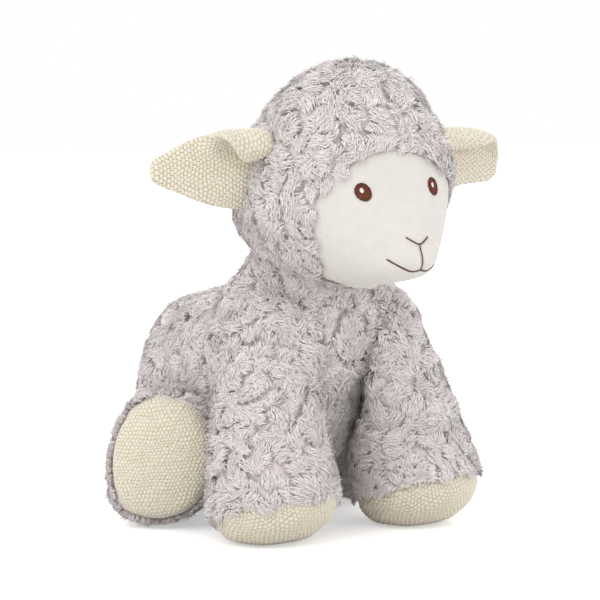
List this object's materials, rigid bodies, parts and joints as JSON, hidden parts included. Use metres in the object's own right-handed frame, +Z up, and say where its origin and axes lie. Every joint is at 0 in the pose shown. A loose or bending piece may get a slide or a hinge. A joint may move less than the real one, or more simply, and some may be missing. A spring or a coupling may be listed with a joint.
{
  "type": "plush sheep",
  "caption": "Sitting plush sheep with a curly plush body, a linen face, embroidered eyes and mouth, and knitted ears and soles.",
  "frame": {"origin": "middle of the flat underside of the seat, on the surface that the sheep sits on", "axes": "+Z up; the sheep looks towards -Y and its own right side is at -X"},
  "size_m": [0.2668, 0.325, 0.3215],
  "materials": {
    "plush": "curly light grey-lilac plush pile",
    "linen": "fine off-white linen weave",
    "knit": "cream moss-stitch knit",
    "eye_thread": "brown satin-stitch embroidery",
    "highlight_thread": "white satin-stitch embroidery",
    "mouth_thread": "dark brown stem-stitch embroidery",
    "fibre": "white polyester fibre fill",
    "cotton": "plain cotton bag of pellets"
  },
  "bodies": {
    "torso": {"torso_cover": "plush", "torso_stuffing": "fibre", "pellet_bag": "cotton"},
    "neck": {"neck_stuffing": "fibre"},
    "head": {"head_cover": "plush", "head_stuffing": "fibre", "face_panel": "linen", "eye_right": "eye_thread", "eye_left": "eye_thread", "eye_highlight_right": "highlight_thread", "eye_highlight_left": "highlight_thread", "nose_stitching": "mouth_thread", "mouth_stitching": "mouth_thread"},
    "ear_right": {"ear_right": "knit"},
    "ear_left": {"ear_left": "knit"},
    "tail": {"tail": "plush"},
    "front_leg_right": {"front_leg_right_cover": "plush", "front_leg_right_stuffing": "fibre", "front_leg_right_sole": "knit"},
    "front_leg_left": {"front_leg_left_cover": "plush", "front_leg_left_stuffing": "fibre", "front_leg_left_sole": "knit"},
    "hind_leg_right": {"hind_leg_right_cover": "plush", "hind_leg_right_stuffing": "fibre", "hind_leg_right_sole": "knit"},
    "hind_leg_left": {"hind_leg_left_cover": "plush", "hind_leg_left_stuffing": "fibre", "hind_leg_left_sole": "knit"}
  },
  "joints": [
    {"name": "head_turn", "type": "hinge", "parent": "torso", "child": "neck", "pos_m": [0, -0.093, 0.18], "axis": [0, 0, 1], "range_deg": [-15, 35], "stiffness_Nm_per_rad": 0.8},
    {"name": "head_nod", "type": "hinge", "parent": "neck", "child": "head", "pos_m": [0, -0.093, 0.18], "axis": [0.9848, -0.1736, 0], "range_deg": [-14, 4], "stiffness_Nm_per_rad": 2},
    {"name": "ear_right_flap", "type": "hinge", "parent": "head", "child": "ear_right", "pos_m": [-0.07719, -0.11899, 0.251], "axis": [0.1736, 0.9848, 0], "range_deg": [-30, 30], "stiffness_Nm_per_rad": 0.12},
    {"name": "ear_left_flap", "type": "hinge", "parent": "head", "child": "ear_left", "pos_m": [0.06364, -0.14382, 0.251], "axis": [0.1736, 0.9848, 0], "range_deg": [-30, 30], "stiffness_Nm_per_rad": 0.12},
    {"name": "front_leg_right_swing", "type": "hinge", "parent": "torso", "child": "front_leg_right", "pos_m": [-0.05, -0.1, 0.128], "axis": [1, 0, 0], "range_deg": [-28, 4], "stiffness_Nm_per_rad": 0.8},
    {"name": "front_leg_left_swing", "type": "hinge", "parent": "torso", "child": "front_leg_left", "pos_m": [0.05, -0.108, 0.128], "axis": [1, 0, 0], "range_deg": [-28, 4], "stiffness_Nm_per_rad": 0.8},
    {"name": "hind_leg_right_spread", "type": "hinge", "parent": "torso", "child": "hind_leg_right", "pos_m": [-0.034, 0.008, 0.05], "axis": [0, 0, 1], "range_deg": [-24, 0], "stiffness_Nm_per_rad": 0.8},
    {"name": "hind_leg_left_spread", "type": "hinge", "parent": "torso", "child": "hind_leg_left", "pos_m": [0.034, 0.008, 0.05], "axis": [0, 0, 1], "range_deg": [0, 24], "stiffness_Nm_per_rad": 0.8},
    {"name": "tail_wag", "type": "hinge", "parent": "torso", "child": "tail", "pos_m": [0, 0.067, 0.078], "axis": [0, 0, 1], "range_deg": [-25, 25], "stiffness_Nm_per_rad": 0.04}
  ]
}
